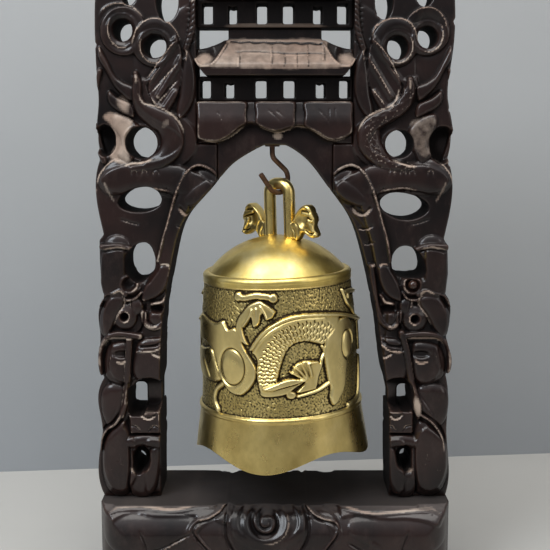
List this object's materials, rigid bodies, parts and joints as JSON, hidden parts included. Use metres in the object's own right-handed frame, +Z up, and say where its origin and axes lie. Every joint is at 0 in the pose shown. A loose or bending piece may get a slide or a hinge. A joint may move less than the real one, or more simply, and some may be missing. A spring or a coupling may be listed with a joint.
{
  "type": "hanging bell on stand",
  "caption": "Cast brass temple-style bell with a lobed lip, hanging from a wire hook in a carved and pierced hardwood stand.",
  "frame": {"origin": "middle of the base's underside", "axes": "+Z up, -Y to the front, +X to the viewer's right"},
  "size_m": [0.3205, 0.1594, 0.61],
  "materials": {
    "carved_wood": "dark polished hardwood, worn on the edges",
    "dowel_wood": "plain",
    "eye_bead": "polished",
    "iron": "rusty brown",
    "screw_steel": "plain",
    "bell_brass": "polished, with an olive patina"
  },
  "bodies": {
    "stand": {"base_plinth": "carved_wood", "left_upright": "carved_wood", "right_upright": "carved_wood", "arch_board": "carved_wood", "lower_colonnade": "carved_wood", "middle_roof": "carved_wood", "upper_colonnade": "carved_wood", "top_roof": "carved_wood", "roof_finial": "carved_wood", "right_eye_bead": "eye_bead", "hook_washer": "iron", "hanging_hook": "iron", "base_screws": "screw_steel", "arch_dowels": "dowel_wood", "pagoda_pins": "dowel_wood"},
    "bell": {"bell_body": "bell_brass", "bell_dome": "bell_brass", "crown_loop": "bell_brass", "crown_washers": "bell_brass"}
  },
  "joints": [
    {"name": "bell_swing", "type": "hinge", "parent": "stand", "child": "bell", "pos_m": [0.0038, 0, 0.3691], "axis": [1, 0, 0], "range_deg": [-20, 20]}
  ]
}
